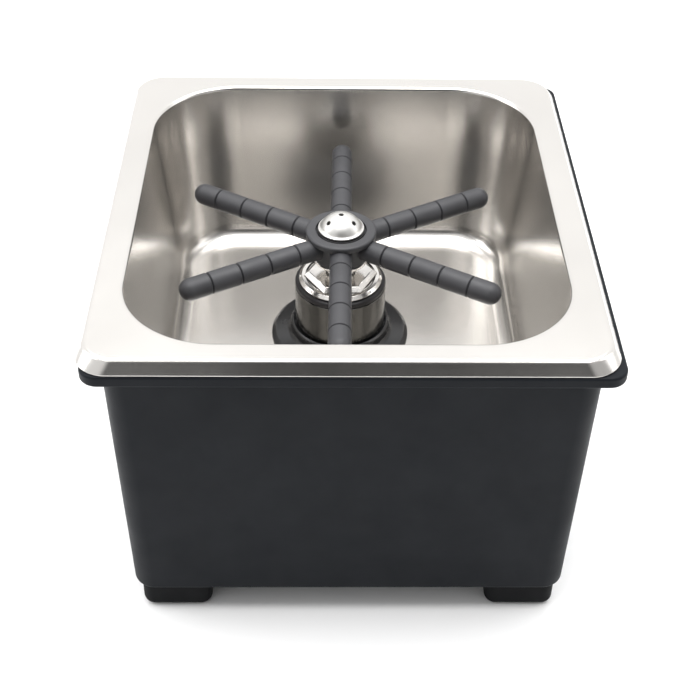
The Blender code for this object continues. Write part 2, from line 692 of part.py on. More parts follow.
def make_dome():
    """Domed spray cap: flange, step and spherical crown, screwed on the stem by its neck."""
    flange_bottom = DISC_TOP - 1.2 + GAP + 0.8 + GAP
    flange_top = flange_bottom + 0.8
    neck_bottom = 98.3
    centre = DOME_TOP - DOME_SPHERE
    step = flange_top + 0.3
    low = math.degrees(math.asin((step - centre) / DOME_SPHERE))
    crown = arc((0, centre), DOME_SPHERE, 90, low, 5)
    crown[0] = (0, DOME_TOP)
    inner_radius = DOME_SPHERE - 1.0
    inner_low = math.degrees(math.asin((flange_top - centre) / inner_radius))
    inside = arc((0, centre), inner_radius, inner_low, 90, 3)
    inside[-1] = (0, DOME_TOP - 1.0)
    skirt = [
        (DOME_BASE + 0.5, flange_top), (DOME_FLANGE, flange_top - 0.2), (DOME_FLANGE, flange_bottom),
        (6.8, flange_bottom), (6.8, neck_bottom), (RUNNING, neck_bottom), (RUNNING, flange_top - 0.4),
    ]
    dome = on_tower("spray_dome", crown + skirt + inside, POLISHED_STEEL, 24, ring=False)
    holes = [((0, 0, DOME_TOP), (0, 0, 1), DOME_HOLE, 4.0)]
    for index in range(3):
        aim = tilted(math.radians(90 + 120 * index), DOME_HOLE_TILT)
        spot = Vector((0, 0, centre)) + Vector(aim) * DOME_SPHERE
        holes.append((spot, aim, DOME_HOLE, 4.0))
    cut(dome, drills("spray_holes", holes, 12, (TOWER_X, 0, 0)))
    low_seal = DISC_TOP - 1.2 + GAP
    on_tower("dome_seal", washer(8.3, 7.2, low_seal, low_seal + 0.8), SEAL_RUBBER)


make_tub()
make_feet()
make_pan()
make_tower_shell()
make_gland()
make_valve_body()
make_pan_clamp()
make_inlet()
make_drain()
make_stem()
make_poppet()
make_spring()
make_spider()
make_dome()
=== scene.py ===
"""Looks of a free-standing jug rinser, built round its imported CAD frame."""

import json
import math

import bmesh
import bpy
from mathutils import Matrix, Vector


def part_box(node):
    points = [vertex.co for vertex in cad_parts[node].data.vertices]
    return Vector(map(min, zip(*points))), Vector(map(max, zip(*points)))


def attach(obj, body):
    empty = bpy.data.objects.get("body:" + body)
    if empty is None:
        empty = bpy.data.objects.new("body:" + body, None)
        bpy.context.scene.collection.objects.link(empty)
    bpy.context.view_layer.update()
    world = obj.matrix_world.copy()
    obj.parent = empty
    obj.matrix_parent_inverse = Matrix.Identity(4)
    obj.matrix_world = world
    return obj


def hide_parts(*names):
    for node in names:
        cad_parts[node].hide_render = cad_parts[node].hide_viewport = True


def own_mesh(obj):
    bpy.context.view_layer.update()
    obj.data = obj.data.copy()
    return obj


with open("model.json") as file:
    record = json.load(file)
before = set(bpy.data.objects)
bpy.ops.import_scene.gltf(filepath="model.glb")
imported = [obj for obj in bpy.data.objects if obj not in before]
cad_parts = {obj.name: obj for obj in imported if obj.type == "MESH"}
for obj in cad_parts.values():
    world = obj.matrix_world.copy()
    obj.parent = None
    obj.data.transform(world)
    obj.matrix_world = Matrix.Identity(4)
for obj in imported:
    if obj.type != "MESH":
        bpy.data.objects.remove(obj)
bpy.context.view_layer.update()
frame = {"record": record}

MM = 0.001
ROUND = 128                 # facets round a large turned piece
SMALL = 64                  # facets round a small one
CORNER_STEPS = 20           # facets round each corner of the tub and the pan


# ---------------------------------------------------------------- node helpers

def new_material(name, colour, roughness, metallic=0.0, **sockets):
    """Principled material; the constants go on the shader's own sockets."""
    made = bpy.data.materials.new(name)
    made.use_nodes = True
    shader = made.node_tree.nodes["Principled BSDF"]
    shader.inputs["Base Color"].default_value = (*colour, 1.0)
    shader.inputs["Roughness"].default_value = roughness
    shader.inputs["Metallic"].default_value = metallic
    for socket, value in sockets.items():
        shader.inputs[socket.replace("_", " ")].default_value = value
    return made, shader


def add_node(mat, kind, **settings):
    node = mat.node_tree.nodes.new(kind)
    for key, value in settings.items():
        if key in node.inputs:
            node.inputs[key].default_value = value
        else:
            setattr(node, key, value)
    return node


def link(mat, source, target):
    mat.node_tree.links.new(source, target)


def object_space(mat, scale):
    """Object coordinates, stretched."""
    coords = add_node(mat, "ShaderNodeTexCoord")
    mapping = add_node(mat, "ShaderNodeMapping")
    mapping.inputs["Scale"].default_value = scale
    link(mat, coords.outputs["Object"], mapping.inputs["Vector"])
    return mapping.outputs["Vector"]


def noise(mat, scale, detail=4.0, roughness=0.5, stretch=(1, 1, 1)):
    node = add_node(mat, "ShaderNodeTexNoise")
    node.inputs["Scale"].default_value = scale
    node.inputs["Detail"].default_value = detail
    node.inputs["Roughness"].default_value = roughness
    link(mat, object_space(mat, stretch), node.inputs["Vector"])
    return node.outputs["Fac"]


def remap(mat, value, low, high, start=0.3, end=0.7):
    """Stretch the middle of a noise value over a wanted range."""
    node = add_node(mat, "ShaderNodeMapRange")
    node.inputs["From Min"].default_value = start
    node.inputs["From Max"].default_value = end
    node.inputs["To Min"].default_value = low
    node.inputs["To Max"].default_value = high
    link(mat, value, node.inputs["Value"])
    return node.outputs["Result"]


def maths(mat, operation, first, second):
    node = add_node(mat, "ShaderNodeMath", operation=operation)
    for socket, value in zip(node.inputs, (first, second)):
        if isinstance(value, (int, float)):
            socket.default_value = value
        else:
            link(mat, value, socket)
    return node.outputs["Value"]


def mix_colour(mat, fac, first, second):
    node = add_node(mat, "ShaderNodeMix", data_type='RGBA')
    link(mat, fac, node.inputs["Factor"])
    for socket, value in ((node.inputs[6], first), (node.inputs[7], second)):
        if isinstance(value, tuple):
            socket.default_value = (*value, 1.0)
        else:
            link(mat, value, socket)
    return node.outputs[2]


def bump(mat, shader, layers):
    """Stack of bumps: each layer is a height value, its strength and its depth in metres."""
    normal = None
    for height, strength, depth in layers:
        node = add_node(mat, "ShaderNodeBump")
        node.inputs["Strength"].default_value = strength
        node.inputs["Distance"].default_value = depth
        link(mat, height, node.inputs["Height"])
        if normal is not None:
            link(mat, normal, node.inputs["Normal"])
        normal = node.outputs["Normal"]
    link(mat, normal, shader.inputs["Normal"])


def edge_mask(mat, radius):
    """1 along worn edges and 0 on open surface, from how a rounded normal differs from the true one."""
    rounded = add_node(mat, "ShaderNodeBevel", samples=4)
    rounded.inputs["Radius"].default_value = radius
    geometry = add_node(mat, "ShaderNodeNewGeometry")
    dot = add_node(mat, "ShaderNodeVectorMath", operation='DOT_PRODUCT')
    link(mat, rounded.outputs["Normal"], dot.inputs[0])
    link(mat, geometry.outputs["Normal"], dot.inputs[1])
    difference = maths(mat, 'SUBTRACT', 1.0, dot.outputs["Value"])
    return remap(mat, difference, 0.0, 1.0, 0.02, 0.25)


# ---------------------------------------------------------------- materials

def moulded_plastic(name, dark, light, rough, grain, wear, specular=0.5):
    """Moulded plastic: eroded-tool grain, faint flow mottling and paler rubbed edges."""
    mat, shader = new_material(name, light, rough, IOR=1.49, Specular_IOR_Level=specular)
    mottle = noise(mat, 55.0, 5.0, 0.6)
    base = mix_colour(mat, remap(mat, mottle, 0.0, 1.0), dark, light)
    worn = tuple(min(1.0, value * 1.9 + 0.01) for value in light)
    patches = remap(mat, noise(mat, 240.0), 0.0, wear)
    scuff = maths(mat, 'MULTIPLY', edge_mask(mat, 0.0009), patches)
    link(mat, mix_colour(mat, scuff, base, worn), shader.inputs["Base Color"])
    gloss = remap(mat, noise(mat, 90.0, 6.0), rough - 0.05, rough + 0.07)
    link(mat, gloss, shader.inputs["Roughness"])
    fine = noise(mat, 1500.0 * grain, 3.0, 0.7)
    coarse = noise(mat, 420.0 * grain, 2.0, 0.5)
    bump(mat, shader, [(coarse, 0.25, 0.00006), (fine, 0.5, 0.00004)])
    return mat


def rubber(name, dark, light, rough, specular=0.3):
    """Matte rubber with bloom, fine pores and slightly shiny high spots."""
    mat, shader = new_material(name, light, rough, IOR=1.5, Specular_IOR_Level=specular)
    bloom = noise(mat, 130.0, 6.0, 0.62)
    link(mat, mix_colour(mat, remap(mat, bloom, 0.0, 1.0), dark, light), shader.inputs["Base Color"])
    gloss = remap(mat, noise(mat, 260.0, 5.0), rough - 0.06, rough + 0.08)
    link(mat, gloss, shader.inputs["Roughness"])
    pores = noise(mat, 2600.0, 2.0, 0.6)
    waves = noise(mat, 320.0, 3.0, 0.5)
    bump(mat, shader, [(waves, 0.2, 0.00008), (pores, 0.35, 0.00003)])
    return mat


SMUDGE = 0.03               # how far polish marks take the sheet's roughness either way


def brushed_metal(name, colour, rough, stretch):
    """Drawn sheet metal: fine grain and cloudy polish marks in its gloss, on a slightly wavy surface."""
    mat, shader = new_material(name, colour, rough, 1.0)
    grain = noise(mat, 1.0, 4.0, 0.7, stretch)
    cloud = noise(mat, 22.0, 5.0, 0.55)
    wave = noise(mat, 14.0, 2.0, 0.5)
    shade = tuple(value * 0.96 for value in colour)
    link(mat, mix_colour(mat, remap(mat, cloud, 0.0, 1.0), shade, colour), shader.inputs["Base Color"])
    smooth = remap(mat, cloud, rough - SMUDGE, rough + SMUDGE)
    link(mat, maths(mat, 'ADD', smooth, remap(mat, grain, -0.008, 0.008)), shader.inputs["Roughness"])
    bump(mat, shader, [(wave, 0.05, 0.0008)])
    return mat


TOOL_PITCH = 4200.0         # noise scale of the tool rings along the turning axis
TOOL_MARK = 0.000006        # their depth in metres


def turned_metal(name, colour, rough, tarnish=None):
    """Machined metal: tool rings across the turning axis, fine scratches and optional tarnish."""
    mat, shader = new_material(name, colour, rough, 1.0)
    rings = noise(mat, 1.0, 3.0, 0.6, (60.0, 60.0, TOOL_PITCH))
    scratch = noise(mat, 900.0, 3.0, 0.8)
    dull = tarnish or tuple(value * 0.86 for value in colour)
    cloud = noise(mat, 140.0, 5.0, 0.6)
    stained = remap(mat, cloud, 0.0, 1.0, 0.42, 0.75)
    link(mat, mix_colour(mat, stained, colour, dull), shader.inputs["Base Color"])
    link(mat, remap(mat, cloud, rough - 0.03, rough + 0.07), shader.inputs["Roughness"])
    bump(mat, shader, [(rings, 0.4, TOOL_MARK), (scratch, 0.12, TOOL_MARK)])
    return mat


def glossy_moulding(name, colour, rough):
    """Glossy moulding: slight orange peel, hairline scratches and water marks in its gloss."""
    mat, shader = new_material(name, colour, rough, IOR=1.5)
    marks = noise(mat, 75.0, 6.0, 0.65)
    pale = tuple(value * 1.7 + 0.004 for value in colour)
    spotted = remap(mat, marks, 0.0, 1.0, 0.5, 0.8)
    link(mat, mix_colour(mat, spotted, colour, pale), shader.inputs["Base Color"])
    link(mat, remap(mat, marks, rough - 0.04, rough + 0.12, 0.4, 0.75), shader.inputs["Roughness"])
    peel = noise(mat, 380.0, 2.0)
    hairlines = noise(mat, 2400.0, 2.0, 0.8)
    bump(mat, shader, [(peel, 0.15, 0.00005), (hairlines, 0.1, 0.00001)])
    return mat


TUB_PLASTIC = moulded_plastic(
    "look_tub_plastic", (0.0045, 0.0058, 0.0080), (0.0070, 0.0086, 0.0112), 0.48, 1.0, 0.35, 0.12)
FOOT_RUBBER = rubber("look_foot_rubber", (0.004, 0.0044, 0.0052), (0.007, 0.0074, 0.0082), 0.62, 0.10)
SPIDER_RUBBER = rubber("look_spider_rubber", (0.024, 0.024, 0.027), (0.034, 0.034, 0.038), 0.50, 0.50)
SEAL_RUBBER = rubber("look_seal_rubber", (0.010, 0.009, 0.010), (0.018, 0.016, 0.018), 0.36)
GLOSS_BLACK = glossy_moulding("look_gloss_black", (0.014, 0.014, 0.015), 0.24)
WHITE_PLASTIC = moulded_plastic(
    "look_white_plastic", (0.66, 0.66, 0.63), (0.74, 0.74, 0.72), 0.42, 0.8, 0.1)
PAN_STEEL = brushed_metal("look_pan_steel", (0.660, 0.640, 0.614), 0.24, (1300.0, 1300.0, 30.0))
RAW_STEEL = brushed_metal("look_raw_steel", (0.36, 0.35, 0.335), 0.42, (300.0, 300.0, 20.0))
SATIN_STEEL = turned_metal("look_satin_steel", (0.64, 0.63, 0.61), 0.36)
POLISHED_STEEL = turned_metal("look_polished_steel", (0.70, 0.68, 0.655), 0.16)
# Polished steel with a very dark base colour: painted dark reflection of the shaded pan wall in front of the
# sleeve.
SLEEVE_PAINTED_DARK_REFLECTION = turned_metal("look_sleeve_steel_painted_reflection", (0.098, 0.096, 0.090), 0.12)
SCREW_STEEL = turned_metal("look_screw_steel", (0.60, 0.60, 0.60), 0.33)
SPRING_STEEL = turned_metal("look_spring_steel", (0.62, 0.62, 0.62), 0.26)
BRASS = turned_metal("look_brass", (0.80, 0.60, 0.30), 0.26, (0.52, 0.36, 0.17))

FINISH = {
    "tub_plastic": TUB_PLASTIC, "foot_rubber": FOOT_RUBBER, "pan_steel": PAN_STEEL,
    "polished_steel": POLISHED_STEEL, "spring_steel": SPRING_STEEL, "screw_steel": SCREW_STEEL,
    "brass": BRASS, "gloss_black": GLOSS_BLACK, "seal_rubber": SEAL_RUBBER,
    "spider_rubber": SPIDER_RUBBER, "white_plastic": WHITE_PLASTIC,
}
SLOT_OF = {row["node"]: row["material_slot"] for row in frame["record"]["subparts"]}
BODIES = frame["record"]["behaviour"]["bodies"]
BODY_OF = {node: body for body, nodes in BODIES.items() for node in nodes}


# ---------------------------------------------------------------- places from the frame

def middle(node):
    """Centre of a node's box, in millimetres."""
    low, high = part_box(node)
    return (low + high) / 2 / MM


def span(node):
    """Lowest and highest corner of a node's box, in millimetres."""
    low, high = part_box(node)
    return low / MM, high / MM


def levels(node):
    low, high = span(node)
    return low.z, high.z


def radius_of(node):
    """Outer radius of an upright turned node, in millimetres."""
    low, high = span(node)
    return (high.y - low.y) / 2


TOWER = middle("sleeve")
TOWER_AT = (TOWER.x, TOWER.y, 0.0)
DRAIN = middle("drain_strainer")
DRAIN_AT = (DRAIN.x, DRAIN.y, 0.0)


# ---------------------------------------------------------------- shape helpers

def to_object(name, bm, location=(0, 0, 0), rotation=(0, 0, 0)):
    mesh = bpy.data.meshes.new(name)
    bm.to_mesh(mesh)
    bm.free()
    made = bpy.data.objects.new(name, mesh)
    made.location = Vector(location) * MM
    made.rotation_euler = rotation
    bpy.context.scene.collection.objects.link(made)
    return made


def apply_all(made):
    """Make the modifiers' result the object's own mesh."""
    bpy.context.view_layer.update()
    evaluated = made.evaluated_get(bpy.context.evaluated_depsgraph_get())
    mesh = bpy.data.meshes.new_from_object(evaluated)
    made.modifiers.clear()
    made.data = mesh
    return made


def install(made, node, finish=None, sharp=50.0):
    """Finish a piece that stands for a CAD node: shading, material, body and slot."""
    mesh = made.data
    mesh.shade_smooth()
    mesh.set_sharp_from_angle(angle=math.radians(sharp))
    mesh.materials.clear()
    mesh.materials.append(finish or FINISH[SLOT_OF[node]])
    weighted = made.modifiers.new("even_flats", 'WEIGHTED_NORMAL')
    weighted.keep_sharp = True
    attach(made, BODY_OF[node])
    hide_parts(node)
    return made


def arc(centre, radius, start, end, count):
    """Points along an arc in a profile, the angles in degrees from the profile's outward axis."""
    angles = [math.radians(start + (end - start) * step / count) for step in range(count + 1)]
    return [(centre[0] + radius * math.cos(a), centre[1] + radius * math.sin(a)) for a in angles]


def softened(profile, closed):
    """Round each corner of a profile whose point carries a third value, its radius."""
    result = []
    count = len(profile)
    for index, point in enumerate(profile):
        radius = point[2] if len(point) > 2 else 0.0
        inside = closed or 0 < index < count - 1
        here = Vector(point[:2])
        if radius <= 0 or not inside:
            result.append(tuple(here))
            continue
        before = Vector(profile[index - 1][:2]) - here
        after = Vector(profile[(index + 1) % count][:2]) - here
        half = before.angle(after) / 2
        reach = min(radius / math.tan(half), before.length * 0.49, after.length * 0.49)
        actual = reach * math.tan(half)
        start = here + before.normalized() * reach
        end = here + after.normalized() * reach
        inward = (before.normalized() + after.normalized()).normalized()
        centre = here + inward * (actual / math.sin(half))
        first = start - centre
        last = end - centre
        turn = first.angle_signed(last)
        steps = max(2, int(abs(math.degrees(turn)) / 15))
        for step in range(steps + 1):
            rotated = first.copy()
            rotated.rotate(Matrix.Rotation(-turn * step / steps, 2))
            result.append(tuple(centre + rotated))
    return result


def turned(name, profile, location, rotation=(0, 0, 0), steps=SMALL, ring=True):
    """Spin a profile about Z: points (radius, height) or (radius, height, corner radius)."""
    bm = bmesh.new()
    verts = [bm.verts.new((r * MM, 0, z * MM)) for r, z in softened(profile, ring)]
    for first, second in zip(verts, verts[1:]):
        bm.edges.new((first, second))
    if ring:
        bm.edges.new((verts[-1], verts[0]))
    made = to_object(name, bm, location, rotation)
    screw = made.modifiers.new("turn", 'SCREW')
    screw.axis = 'Z'
    screw.angle = 2 * math.pi
    screw.steps = steps
    screw.render_steps = steps
    screw.use_merge_vertices = True
    screw.merge_threshold = 0.00001
    apply_all(made)
    return made


def ring_profile(outer, inner, bottom, top, soft=0.15):
    return [(outer, top, soft), (outer, bottom, soft), (inner, bottom, soft), (inner, top, soft)]


def boolean(target, tool, operation):
    change = target.modifiers.new(operation.lower(), 'BOOLEAN')
    change.object = tool
    change.operation = operation
    apply_all(target)
    bpy.data.objects.remove(tool, do_unlink=True)


def soften_edges(made, width, angle=40.0, segments=3):
    bevel = made.modifiers.new("soft_edges", 'BEVEL')
    bevel.width = width * MM
    bevel.segments = segments
    bevel.limit_method = 'ANGLE'
    bevel.angle_limit = math.radians(angle)
    bevel.harden_normals = False
    apply_all(made)


def hexagon(name, base_radius, top_radius, bottom, top, location, turn=0.0):
    bm = bmesh.new()
    height = (top - bottom) * MM
    bmesh.ops.create_cone(
        bm, segments=6, radius1=base_radius * MM, radius2=top_radius * MM, depth=height, cap_ends=True,
        matrix=Matrix.Translation((0, 0, bottom * MM + height / 2)) @ Matrix.Rotation(turn, 4, 'Z'))
    return to_object(name, bm, location)


def drills(name, holes, location, segments=32):
    """One cutter made of several cylinders, each given by centre, axis, radius and length."""
    bm = bmesh.new()
    for centre, axis, radius, length in holes:
        aim = Vector((0, 0, 1)).rotation_difference(Vector(axis)).to_matrix().to_4x4()
        bmesh.ops.create_cone(
            bm, segments=segments, radius1=radius * MM, radius2=radius * MM, depth=length * MM,
            cap_ends=True, matrix=Matrix.Translation(Vector(centre) * MM) @ aim)
    return to_object(name, bm, location)


def rounded_rectangle(half_x, half_y, radius, corner_steps):
    """Outline of a rectangle with rounded corners, anticlockwise from its right-hand side."""
    points = []
    for quarter, (side_x, side_y) in enumerate([(1, 1), (-1, 1), (-1, -1), (1, -1)]):
        for step in range(corner_steps + 1):
            angle = math.pi / 2 * (quarter + step / corner_steps)
            x = side_x * (half_x - radius) + radius * math.cos(angle)
            y = side_y * (half_y - radius) + radius * math.sin(angle)
            points.append((x, y))
    return points


def lofted(name, sections, location, cap_first, corner_steps=CORNER_STEPS):
    """Skin a stack of rounded rectangles (half x, half y, corner radius, height) and cap the last."""
    bm = bmesh.new()
    rings = []
    for half_x, half_y, radius, height in sections:
        outline = rounded_rectangle(half_x, half_y, radius, corner_steps)
        rings.append([bm.verts.new((x * MM, y * MM, height * MM)) for x, y in outline])
    count = len(rings[0])
    for lower, upper in zip(rings, rings[1:]):
        for i in range(count):
            j = (i + 1) % count
            bm.faces.new((lower[i], lower[j], upper[j], upper[i]))
    bm.faces.new(rings[-1])
    if cap_first:
        bm.faces.new(reversed(rings[0]))
    return to_object(name, bm, location)


def section(half, corner, inset, height):
    """One rounded rectangle of a loft, drawn in on every side."""
    return (half[0] - inset, half[1] - inset, max(corner - inset, 0.6), height)


def corner_sections(half, corner, radius, height, start, end, across, up, count=6):
    """Sections round a rounded edge: across and up give which way the arc's centre lies."""
    made = []
    for step in range(count + 1):
        angle = math.radians(start + (end - start) * step / count)
        inset = radius * (1 - math.cos(angle)) * across
        rise = radius * (1 - math.sin(angle)) * up
        made.append(section(half, corner, inset, height + rise))
    return made


# ---------------------------------------------------------------- tub and feet

TUB_EDGE = 0.8              # rounding of the tub flange's edges
TUB_WALL = 2.5
TUB_FLANGE_THICK = 3.9
TUB_CORNER = 7.5
TUB_FLANGE_CORNER = 5.8
TUB_TOP_INSET = (5.15, 4.6)         # outer wall under the flange, in from the flange's edge
TUB_FOOT_INSET = (7.25, 6.05)       # and at the bottom
TUB_BOTTOM_ROUND = 1.2
OUTLET_HALF = (29.0, 11.0)
OUTLET_Z = 31.0
FEET = ("front_left", "front_right", "rear_left", "rear_right")


def shrink(half, inset):
    """Half sizes drawn in by an inset across and an inset deep."""
    return (half[0] - inset[0], half[1] - inset[1])


def make_tub():
    """Tapered moulding with an outward flange, skinned up its outer wall and down the inner one."""
    low, high = span("tub_housing")
    centre = middle("tub_housing")
    flange = ((high.x - low.x) / 2, (high.y - low.y) / 2)
    top = shrink(flange, TUB_TOP_INSET)
    foot = shrink(flange, TUB_FOOT_INSET)
    inner_top = shrink(top, (TUB_WALL, TUB_WALL))
    inner_foot = shrink(foot, (TUB_WALL, TUB_WALL))
    inner_corner = TUB_CORNER - TUB_WALL
    under = high.z - TUB_FLANGE_THICK
    edge = TUB_EDGE
    floor = low.z + TUB_WALL
    sections = []
    sections += corner_sections(foot, TUB_CORNER, TUB_BOTTOM_ROUND, low.z, 90, 0, 1, 1, 8)
    sections.append(section(top, TUB_CORNER, 0.15, under - 0.5))
    sections.append(section(top, TUB_CORNER, -0.35, under))
    sections += corner_sections(flange, TUB_FLANGE_CORNER, edge, under, 90, 0, 1, 1, 4)
    sections += corner_sections(flange, TUB_FLANGE_CORNER, edge, high.z, 0, 90, 1, -1, 4)
    sections += corner_sections(inner_top, inner_corner, edge, high.z, 90, 0, -1, -1, 4)
    sections += corner_sections(inner_foot, inner_corner, TUB_BOTTOM_ROUND, floor, 0, 90, 1, 1, 6)
    tub = lofted("tub_shell", sections, (centre.x, centre.y, 0), True)
    boolean(tub, outlet_tool(centre.x, foot[1]), 'DIFFERENCE')
    install(tub, "tub_housing")


def outlet_tool(x, wall_y):
    """Rounded slot through the lower back wall, where the two hoses leave."""
    depth = 6 * TUB_WALL
    sections = [(*OUTLET_HALF, OUTLET_HALF[1] - 1.0, end) for end in (-depth, depth)]
    tool = lofted("outlet_tool", sections, (x, wall_y, OUTLET_Z), True)
    tool.rotation_euler = (math.pi / 2, 0, 0)
    return tool


FOOT_CORNER = 4.0
FOOT_EDGE = 3.0
POCKET_RADIUS = 5.0
POCKET_DEPTH = 7.0
FOOT_TOP_EDGE = 0.5
SCREW_HOLE = 2.2
SCREW_CORE = 1.5
SCREW_THREAD = 1.9
SCREW_PITCH = 0.7
SCREW_POINT = 1.5           # length of the tapered end
SCREW_HEAD = 2.5
RECESS = (2.8, 0.6, 2.4)    # one bar of the cross recess


def make_foot(place):
    """Rubber block with rounded lower edges and a screw pocket underneath."""
    low, high = span("foot_" + place)
    centre = middle("foot_" + place)
    half = ((high.x - low.x) / 2, (high.y - low.y) / 2)
    sections = corner_sections(half, FOOT_CORNER, FOOT_EDGE, low.z, 90, 0, 1, 1, 8)
    sections += corner_sections(half, FOOT_CORNER, FOOT_TOP_EDGE, high.z, 0, 90, 1, -1, 3)
    foot = lofted("foot_block_" + place, sections, (centre.x, centre.y, 0), True, 10)
    pocket = [
        (0, high.z + 2), (SCREW_HOLE, high.z + 2), (SCREW_HOLE, POCKET_DEPTH),
        (POCKET_RADIUS, POCKET_DEPTH, 0.4), (POCKET_RADIUS, 0.4), (POCKET_RADIUS + 0.6, -0.2),
        (POCKET_RADIUS + 0.6, -2), (0, -2),
    ]
    tool = turned("pocket_tool", pocket, (centre.x, centre.y, 0), steps=40, ring=False)
    boolean(foot, tool, 'DIFFERENCE')
    install(foot, "foot_" + place)


def make_foot_screw(place):
    """Pan-head screw with a cross recess, up through the foot into the tub."""
    node = "foot_screw_" + place
    bottom, top = levels(node)
    head = radius_of(node)
    centre = middle(node)
    head_top = bottom + SCREW_HEAD
    thread = top - SCREW_POINT
    profile = [(0, top), (1.0, top, 0.2), (1.7, thread)]
    while thread - 1.0 > head_top + 1.0:
        profile += [(SCREW_THREAD, thread - 0.35, 0.05), (SCREW_CORE, thread - SCREW_PITCH, 0.05)]
        thread -= SCREW_PITCH
    profile += [
        (SCREW_THREAD, thread - 0.2), (SCREW_THREAD, head_top), (head, head_top, 0.2),
        (head, bottom + 1.4, 0.9), (head - 1.2, bottom + 0.2, 1.0), (0, bottom),
    ]
    screw = turned("screw_" + place, profile, (centre.x, centre.y, 0), steps=40, ring=False)
    for bar in (RECESS, (RECESS[1], RECESS[0], RECESS[2])):
        bm = bmesh.new()
        bmesh.ops.create_cube(bm, size=1.0, matrix=Matrix.Diagonal((*(Vector(bar) * MM), 1.0)))
        tool = to_object("recess_tool", bm, (centre.x, centre.y, bottom))
        boolean(screw, tool, 'DIFFERENCE')
    install(screw, node)


# ---------------------------------------------------------------- pan

SHEET = 0.8
SKIRT_FLARE = 2.6           # run that sets the skirt's slope over its height
SKIRT_INSET = 1.7           # top of the skirt, in from the hem; the bend's arc adds to it
SKIRT_HEM = 0.35
BEND = 1.6
RIM_CORNER = 10.0           # the same at the flat's edge and at the skirt's hem
MOUTH_INSET = (11.3, 10.7)          # mouth, in from the rim's edge
MOUTH_CORNER = 30.0
MOUTH_EDGE = 1.5
BASE_INSET = (16.6, 16.2)           # pan wall at the floor, in from the rim's edge
BASE_CORNER = 24.0
FILLET = 7.0
PAN_DEPTH = 65.0
SEAT_GAP = 0.3              # left between the skirt and the tub's flange
BEND_STEPS = 8
BODY_HOLE = 12.4
DRAIN_HOLE = 9.0


def make_pan():
    """Pressed sheet drawn as its upper skin: skirt, flat rim, tapered wall and floor."""
    low, high = span("rinse_pan")
    centre = middle("rinse_pan")
    rim = ((high.x - low.x) / 2, (high.y - low.y) / 2)
    mouth = shrink(rim, MOUTH_INSET)
    base = shrink(rim, BASE_INSET)
    floor = high.z - PAN_DEPTH
    hem = levels("tub_housing")[1] + SEAT_GAP
    flare_angle = math.degrees(math.atan2(SKIRT_FLARE, high.z - hem - SKIRT_HEM))
    skirt = [(0.0, hem), (0.0, hem + SKIRT_HEM)]
    for step in range(BEND_STEPS + 1):
        angle = math.radians(flare_angle + (90 - flare_angle) * step / BEND_STEPS)
        inset = SKIRT_INSET + BEND * (1 - math.cos(angle))
        skirt.append((inset, high.z - BEND * (1 - math.sin(angle))))
    sections = [(rim[0] - inset, rim[1] - inset, RIM_CORNER, height) for inset, height in skirt]
    sections += corner_sections(mouth, MOUTH_CORNER, MOUTH_EDGE, high.z, 90, 0, -1, -1, 6)
    sections += corner_sections(base, BASE_CORNER, FILLET, floor, 0, 90, 1, 1, 12)
    pan = lofted("pan_sheet", sections, (centre.x, centre.y, 0), False)
    sheet = pan.modifiers.new("sheet", 'SOLIDIFY')
    sheet.thickness = SHEET * MM
    sheet.offset = -1.0
    sheet.use_even_offset = True
    sheet.use_quality_normals = True
    apply_all(pan)
    holes = [
        ((TOWER.x, TOWER.y, floor), (0, 0, 1), BODY_HOLE, 10.0),
        ((DRAIN.x, DRAIN.y, floor), (0, 0, 1), DRAIN_HOLE, 10.0),
    ]
    boolean(pan, drills("pan_tool", holes, (0, 0, 0), 96), 'DIFFERENCE')
    install(pan, "rinse_pan", sharp=60.0)
    dull_outside(pan, high.z - PAN_DEPTH / 2, hem)


def dull_outside(pan, inside_height, hem):
    """Give the pan's outer skin, below its skirt, the unpolished finish that pressing leaves."""
    pan.data.materials.append(RAW_STEEL)
    inside = Vector((0, 0, inside_height * MM))
    for face in pan.data.polygons:
        outward = face.normal.dot(face.center - inside) > 0
        if outward and face.center.z < hem * MM:
            face.material_index = 1


# ---------------------------------------------------------------- valve tower

def on_tower(node, name, profile, steps=ROUND, ring=True, finish=None, sharp=50.0):
    return install(turned(name, profile, TOWER_AT, steps=steps, ring=ring), node, finish, sharp)


FLANGE_SHELF = 7.4          # height of the sloped shelf over the flange's base
FLANGE_FOOT = 22.0
SHELF_RADIUS = 23.4
COLLAR_RADIUS = 17.9
SLEEVE_SEAT = 16.3          # recess in the collar that the sleeve stands in
SEAT_INNER = 15.4
SEAT_DEPTH = 1.7


def make_floor_flange():
    """Black moulded flange: raised collar, sloped shelf and an undercut base."""
    bottom, top = levels("floor_flange")
    widest = radius_of("floor_flange")
    shelf = bottom + FLANGE_SHELF
    collar = [
        (SLEEVE_SEAT, top - 0.4, 0.2), (16.9, top, 0.3), (17.6, top - 0.5, 0.4),
        (COLLAR_RADIUS, shelf + 1.6, 0.8), (19.0, shelf + 0.8, 1.0),
    ]
    base = [
        (SHELF_RADIUS, shelf, 1.2), (widest, shelf - 1.2, 0.9), (widest, shelf - 2.6, 1.2),
        (FLANGE_FOOT, bottom, 0.5), (BODY_HOLE, bottom), (BODY_HOLE, top, 0.2),
    ]
    seat = [
        (SEAT_INNER, top, 0.2), (SEAT_INNER, top - SEAT_DEPTH, 0.1),
        (SLEEVE_SEAT, top - SEAT_DEPTH, 0.1),
    ]
    profile = collar + base + seat
    on_tower("floor_flange", "floor_flange_moulding", profile)


SLEEVE_BORE = 14.6


def make_sleeve():
    bottom, top = levels("sleeve")
    profile = ring_profile(radius_of("sleeve"), SLEEVE_BORE, bottom, top, 0.25)
    # the sleeve's steel is painted dark to stand in for the dark reflection it shows
    on_tower("sleeve", "sleeve_tube", profile, finish=SLEEVE_PAINTED_DARK_REFLECTION)


def make_seal_ring():
    bottom, top = levels("seal_ring")
    outer = radius_of("seal_ring")
    profile = [(outer, top, 1.0), (outer, bottom, 0.35), (BODY_HOLE, bottom, 0.1), (BODY_HOLE, top, 0.1)]
    on_tower("seal_ring", "seal_ring_moulding", profile)


